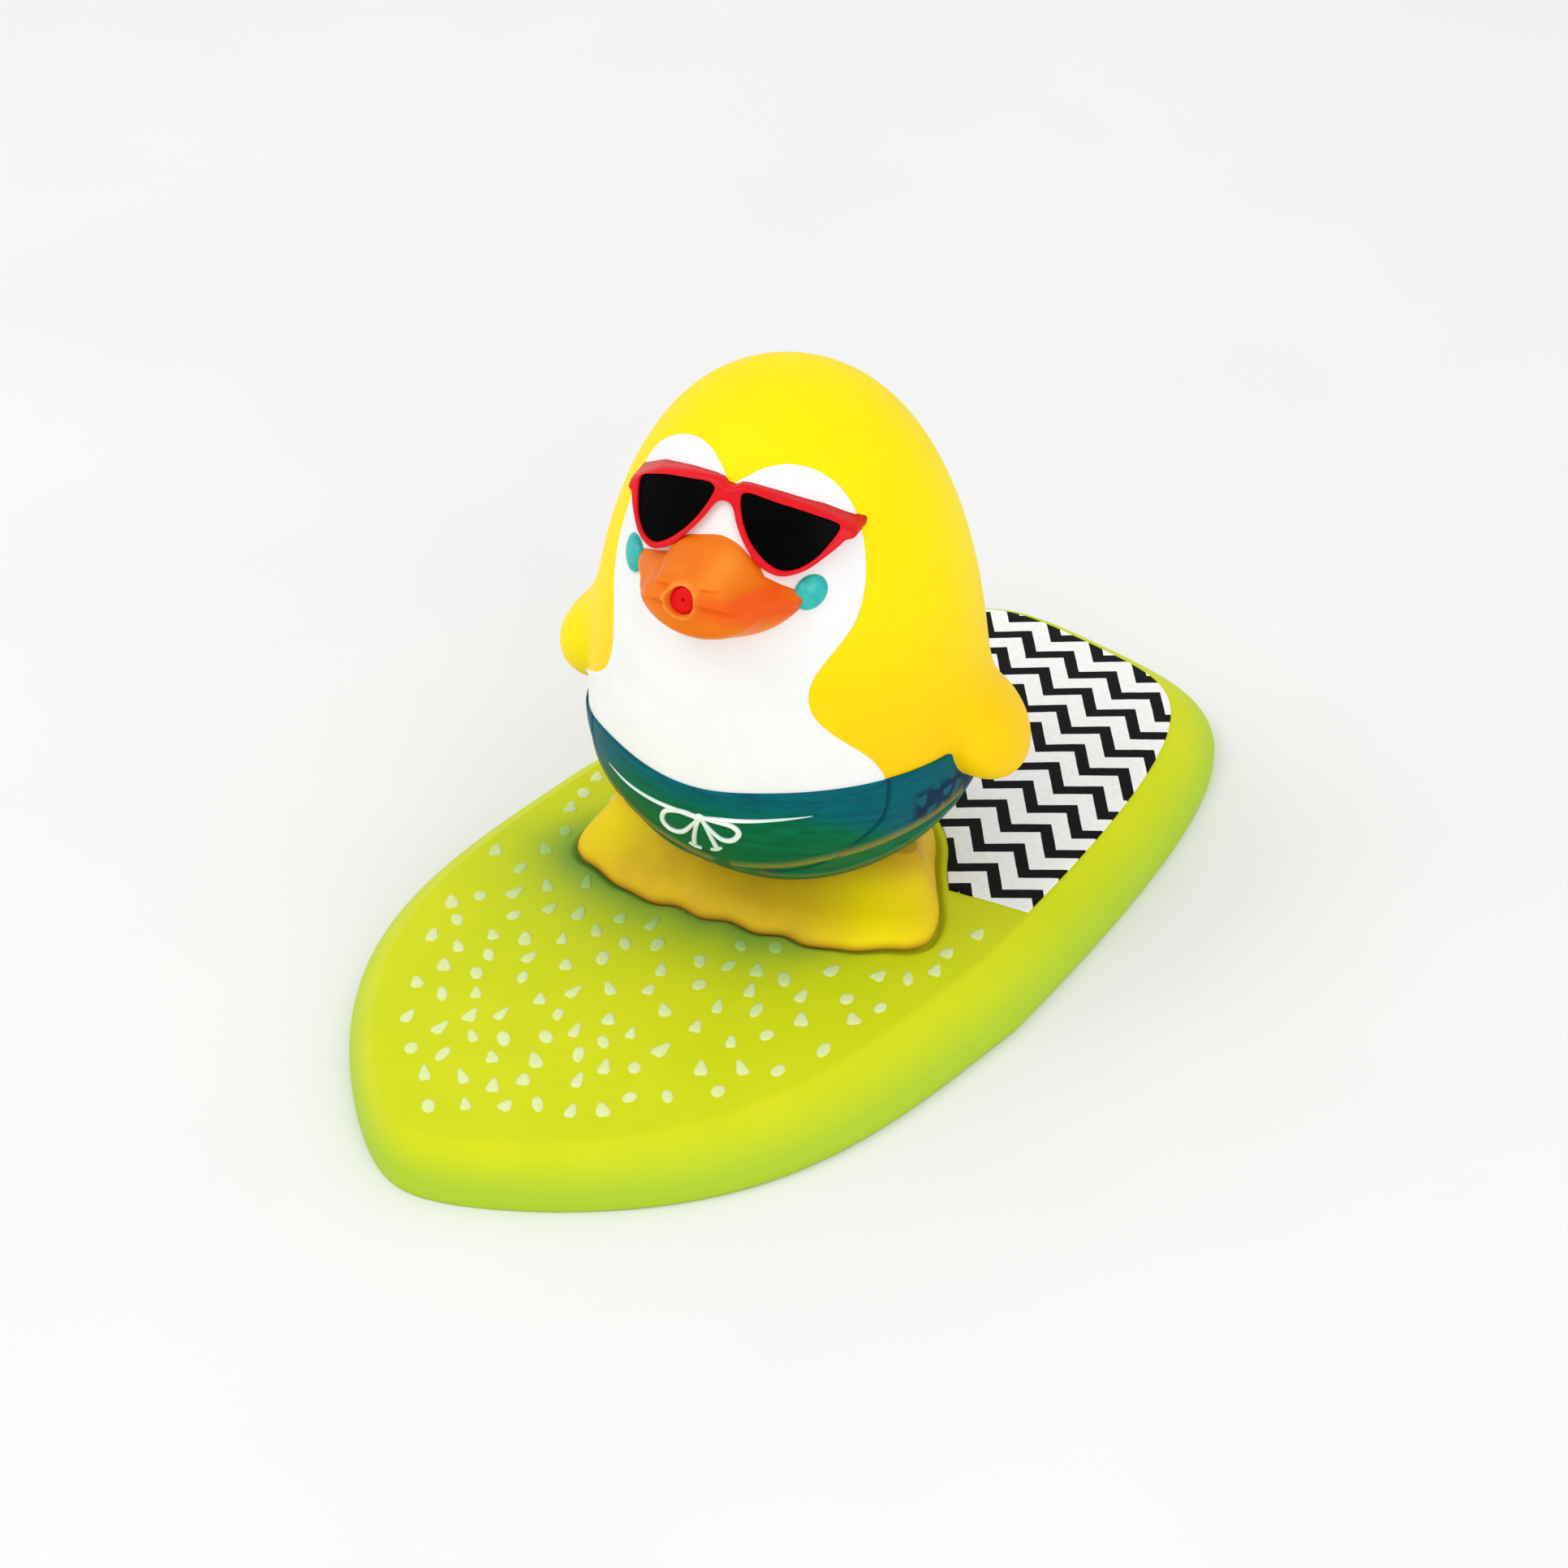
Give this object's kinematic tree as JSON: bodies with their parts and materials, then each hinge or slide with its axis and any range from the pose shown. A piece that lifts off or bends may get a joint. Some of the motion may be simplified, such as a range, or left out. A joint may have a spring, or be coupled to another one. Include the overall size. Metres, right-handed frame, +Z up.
{
  "type": "floating bath squirt toy on a surfboard",
  "caption": "Hollow vinyl penguin squirt toy in sunglasses and swim trunks, standing in a foot pocket of a floating surfboard.",
  "frame": {"origin": "middle of the board's flat underside", "axes": "+Z up, -Y toward the board's nose, +X toward the board's left rail as the penguin sees it"},
  "size_m": [0.091, 0.169, 0.0974],
  "materials": {
    "board_vinyl": "lime green moulded plastic, satin, with a pale pebble print on the deck",
    "board_underside": "lime green moulded plastic, satin",
    "chevron_print": "white film with a black zigzag print, satin",
    "yellow_vinyl": "soft yellow vinyl, satin",
    "white_vinyl": "white painted vinyl, satin",
    "trunks_vinyl": "teal to green sprayed vinyl, satin",
    "drawstring_paint": "white painted relief",
    "feet_vinyl": "golden yellow vinyl with brown sprayed shading at the toes",
    "orange_vinyl": "orange vinyl with darker sprayed shading along the mouth line",
    "nozzle_vinyl": "red vinyl",
    "red_frame": "red gloss",
    "black_lens": "opaque black gloss",
    "teal_cheek": "teal gloss"
  },
  "bodies": {
    "surfboard": {"board_deck": "board_vinyl", "board_bottom": "board_underside", "deck_print": "chevron_print"},
    "penguin": {"penguin_body": "yellow_vinyl", "front_panel": "white_vinyl", "swim_trunks": "trunks_vinyl", "trunks_drawstring": "drawstring_paint", "feet": "feet_vinyl", "beak": "orange_vinyl", "squirt_nozzle": "nozzle_vinyl", "sunglasses_frame": "red_frame", "sunglasses_lens_left": "black_lens", "sunglasses_lens_right": "black_lens", "cheek_left": "teal_cheek", "cheek_right": "teal_cheek"}
  },
  "joints": [
    {"name": "penguin_lift", "type": "slide", "parent": "surfboard", "child": "penguin", "axis": [0, 0, 1], "range_m": [0, 0.06]}
  ]
}
